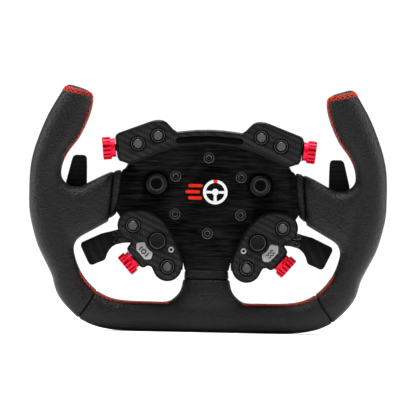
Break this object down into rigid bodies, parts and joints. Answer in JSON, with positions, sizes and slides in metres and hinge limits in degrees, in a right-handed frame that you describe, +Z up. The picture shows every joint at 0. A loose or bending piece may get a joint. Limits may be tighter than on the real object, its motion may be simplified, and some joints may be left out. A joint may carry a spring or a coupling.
{
  "type": "racing wheel",
  "caption": "Open-top sim-racing wheel: leather rim with two raised horns, face plate with buttons, knobs and joysticks, shift and clutch paddles behind.",
  "frame": {"origin": "centre of the hub ring's rear mounting face, on the axis the wheel turns about", "axes": "+Z up, the driver's side faces -Y, +X to the driver's right"},
  "size_m": [0.3304, 0.0715, 0.2261],
  "materials": {
    "leather": "fine-grained matt leather",
    "core_aluminium": "plain milled",
    "face_aluminium": "black anodised, brushed sideways",
    "hub_aluminium": "black anodised, turned",
    "black_screws": "black oxide",
    "bright_steel": "satin",
    "housing_plastic": "fine satin",
    "carbon_panel": "satin forged-carbon look",
    "lens_black": "polished smoked",
    "circuit_board": "solder mask",
    "label_silver": "bead blasted",
    "bezel_black": "black anodised, turned",
    "button_grey": "satin",
    "thumb_black": "satin",
    "switch_black": "moulded",
    "knob_red": "red anodised",
    "stick_grey": "satin",
    "paddle_black": "black anodised",
    "bracket_black": "black anodised",
    "blade_carbon": "woven carbon under satin lacquer"
  },
  "bodies": {
    "wheel": {"rim_core": "core_aluminium", "grip_left": "leather", "grip_right": "leather", "grip_bottom": "leather", "face_plate": "face_aluminium", "hub_screws": "black_screws", "hub_ring": "hub_aluminium", "rear_cover": "housing_plastic", "rear_screws": "black_screws", "main_board": "circuit_board", "cable_socket": "bright_steel", "upper_housing": "housing_plastic", "upper_fascia": "carbon_panel", "light_lens": "lens_black", "light_board": "circuit_board", "pod_housing_left": "housing_plastic", "pod_housing_right": "housing_plastic", "pod_fascia_left": "carbon_panel", "pod_fascia_right": "carbon_panel", "pod_screws": "bright_steel", "label_plates": "label_silver", "button_bezels": "bezel_black", "switches": "switch_black", "encoders": "switch_black", "stick_bases": "bezel_black", "shift_mounts": "bracket_black", "shift_switches": "switch_black", "clutch_mounts": "bracket_black", "paddle_pins": "bright_steel"},
    "button_upper_left_outer": {"button_upper_left_outer": "button_grey"},
    "button_upper_left_inner": {"button_upper_left_inner": "button_grey"},
    "button_upper_right_inner": {"button_upper_right_inner": "button_grey"},
    "button_upper_right_outer": {"button_upper_right_outer": "button_grey"},
    "button_lower_left_outer": {"button_lower_left_outer": "button_grey"},
    "button_lower_left_inner": {"button_lower_left_inner": "button_grey"},
    "button_lower_right_inner": {"button_lower_right_inner": "button_grey"},
    "button_lower_right_outer": {"button_lower_right_outer": "button_grey"},
    "thumb_left": {"thumb_left": "thumb_black"},
    "thumb_right": {"thumb_right": "thumb_black"},
    "knob_upper_left": {"knob_upper_left": "knob_red"},
    "knob_upper_right": {"knob_upper_right": "knob_red"},
    "knob_lower_left": {"knob_lower_left": "knob_red"},
    "knob_lower_right": {"knob_lower_right": "knob_red"},
    "stick_gimbal_left": {"stick_gimbal_left": "stick_grey"},
    "stick_stem_left": {"stick_stem_left": "stick_grey"},
    "stick_ring_left": {"stick_ring_left": "stick_grey"},
    "stick_cap_left": {"stick_cap_left": "stick_grey"},
    "stick_gimbal_right": {"stick_gimbal_right": "stick_grey"},
    "stick_stem_right": {"stick_stem_right": "stick_grey"},
    "stick_ring_right": {"stick_ring_right": "stick_grey"},
    "stick_cap_right": {"stick_cap_right": "stick_grey"},
    "shift_paddle_left": {"shift_paddle_left": "paddle_black"},
    "shift_paddle_right": {"shift_paddle_right": "paddle_black"},
    "clutch_left": {"clutch_arm_left": "bracket_black", "clutch_blade_left": "blade_carbon", "clutch_screws_left": "black_screws"},
    "clutch_right": {"clutch_arm_right": "bracket_black", "clutch_blade_right": "blade_carbon", "clutch_screws_right": "black_screws"}
  },
  "joints": [
    {"name": "button_upper_left_outer_press", "type": "slide", "parent": "wheel", "child": "button_upper_left_outer", "axis": [0, 1, 0], "range_m": [0, 0.0015], "stiffness_N_per_m": 700, "springref_m": -0.001},
    {"name": "button_upper_left_inner_press", "type": "slide", "parent": "wheel", "child": "button_upper_left_inner", "axis": [0, 1, 0], "range_m": [0, 0.0015], "stiffness_N_per_m": 700, "springref_m": -0.001},
    {"name": "button_upper_right_inner_press", "type": "slide", "parent": "wheel", "child": "button_upper_right_inner", "axis": [0, 1, 0], "range_m": [0, 0.0015], "stiffness_N_per_m": 700, "springref_m": -0.001},
    {"name": "button_upper_right_outer_press", "type": "slide", "parent": "wheel", "child": "button_upper_right_outer", "axis": [0, 1, 0], "range_m": [0, 0.0015], "stiffness_N_per_m": 700, "springref_m": -0.001},
    {"name": "button_lower_left_outer_press", "type": "slide", "parent": "wheel", "child": "button_lower_left_outer", "axis": [0, 1, 0], "range_m": [0, 0.0015], "stiffness_N_per_m": 700, "springref_m": -0.001},
    {"name": "button_lower_left_inner_press", "type": "slide", "parent": "wheel", "child": "button_lower_left_inner", "axis": [0, 1, 0], "range_m": [0, 0.0015], "stiffness_N_per_m": 700, "springref_m": -0.001},
    {"name": "button_lower_right_inner_press", "type": "slide", "parent": "wheel", "child": "button_lower_right_inner", "axis": [0, 1, 0], "range_m": [0, 0.0015], "stiffness_N_per_m": 700, "springref_m": -0.001},
    {"name": "button_lower_right_outer_press", "type": "slide", "parent": "wheel", "child": "button_lower_right_outer", "axis": [0, 1, 0], "range_m": [0, 0.0015], "stiffness_N_per_m": 700, "springref_m": -0.001},
    {"name": "thumb_left_press", "type": "slide", "parent": "wheel", "child": "thumb_left", "axis": [0, 1, 0], "range_m": [0, 0.002], "stiffness_N_per_m": 800, "springref_m": -0.001},
    {"name": "thumb_right_press", "type": "slide", "parent": "wheel", "child": "thumb_right", "axis": [0, 1, 0], "range_m": [0, 0.002], "stiffness_N_per_m": 800, "springref_m": -0.001},
    {"name": "knob_upper_left_turn", "type": "hinge", "parent": "wheel", "child": "knob_upper_left", "pos_m": [-0.0863, -0.0546, 0.0428], "axis": [-0.9945, 0, -0.1045], "continuous": true},
    {"name": "knob_upper_right_turn", "type": "hinge", "parent": "wheel", "child": "knob_upper_right", "pos_m": [0.0863, -0.0546, 0.0428], "axis": [0.9945, 0, -0.1045], "continuous": true},
    {"name": "knob_lower_left_turn", "type": "hinge", "parent": "wheel", "child": "knob_lower_left", "pos_m": [-0.0674, -0.0546, -0.0594], "axis": [-0.7547, 0, -0.6561], "continuous": true},
    {"name": "knob_lower_right_turn", "type": "hinge", "parent": "wheel", "child": "knob_lower_right", "pos_m": [0.0674, -0.0546, -0.0594], "axis": [0.7547, 0, -0.6561], "continuous": true},
    {"name": "stick_left_updown", "type": "hinge", "parent": "wheel", "child": "stick_gimbal_left", "pos_m": [-0.048, -0.042, 0.0101], "axis": [1, 0, 0], "range_deg": [-8, 8], "stiffness_Nm_per_rad": 0.15},
    {"name": "stick_left_leftright", "type": "hinge", "parent": "stick_gimbal_left", "child": "stick_stem_left", "pos_m": [-0.048, -0.042, 0.0101], "axis": [0, 0, 1], "range_deg": [-8, 8], "stiffness_Nm_per_rad": 0.15},
    {"name": "stick_left_turn", "type": "hinge", "parent": "stick_stem_left", "child": "stick_ring_left", "pos_m": [-0.048, -0.042, 0.0101], "axis": [0, -1, 0], "continuous": true},
    {"name": "stick_left_press", "type": "slide", "parent": "stick_stem_left", "child": "stick_cap_left", "axis": [0, 1, 0], "range_m": [0, 0.0008], "stiffness_N_per_m": 900, "springref_m": -0.0005},
    {"name": "stick_right_updown", "type": "hinge", "parent": "wheel", "child": "stick_gimbal_right", "pos_m": [0.048, -0.042, 0.0101], "axis": [1, 0, 0], "range_deg": [-8, 8], "stiffness_Nm_per_rad": 0.15},
    {"name": "stick_right_leftright", "type": "hinge", "parent": "stick_gimbal_right", "child": "stick_stem_right", "pos_m": [0.048, -0.042, 0.0101], "axis": [0, 0, 1], "range_deg": [-8, 8], "stiffness_Nm_per_rad": 0.15},
    {"name": "stick_right_turn", "type": "hinge", "parent": "stick_stem_right", "child": "stick_ring_right", "pos_m": [0.048, -0.042, 0.0101], "axis": [0, -1, 0], "continuous": true},
    {"name": "stick_right_press", "type": "slide", "parent": "stick_stem_right", "child": "stick_cap_right", "axis": [0, 1, 0], "range_m": [0, 0.0008], "stiffness_N_per_m": 900, "springref_m": -0.0005},
    {"name": "shift_left_pull", "type": "hinge", "parent": "wheel", "child": "shift_paddle_left", "pos_m": [-0.068, -0.016, 0.0145], "axis": [0, 0, 1], "range_deg": [0, 5], "stiffness_Nm_per_rad": 1.2, "springref_deg": -6.88},
    {"name": "shift_right_pull", "type": "hinge", "parent": "wheel", "child": "shift_paddle_right", "pos_m": [0.068, -0.016, 0.0145], "axis": [0, 0, -1], "range_deg": [0, 5], "stiffness_Nm_per_rad": 1.2, "springref_deg": -6.88},
    {"name": "clutch_left_pull", "type": "hinge", "parent": "wheel", "child": "clutch_left", "pos_m": [-0.056, -0.02, -0.04], "axis": [0, 0, 1], "range_deg": [0, 18], "stiffness_Nm_per_rad": 0.4, "springref_deg": -11.46},
    {"name": "clutch_right_pull", "type": "hinge", "parent": "wheel", "child": "clutch_right", "pos_m": [0.056, -0.02, -0.04], "axis": [0, 0, -1], "range_deg": [0, 18], "stiffness_Nm_per_rad": 0.4, "springref_deg": -11.46}
  ]
}
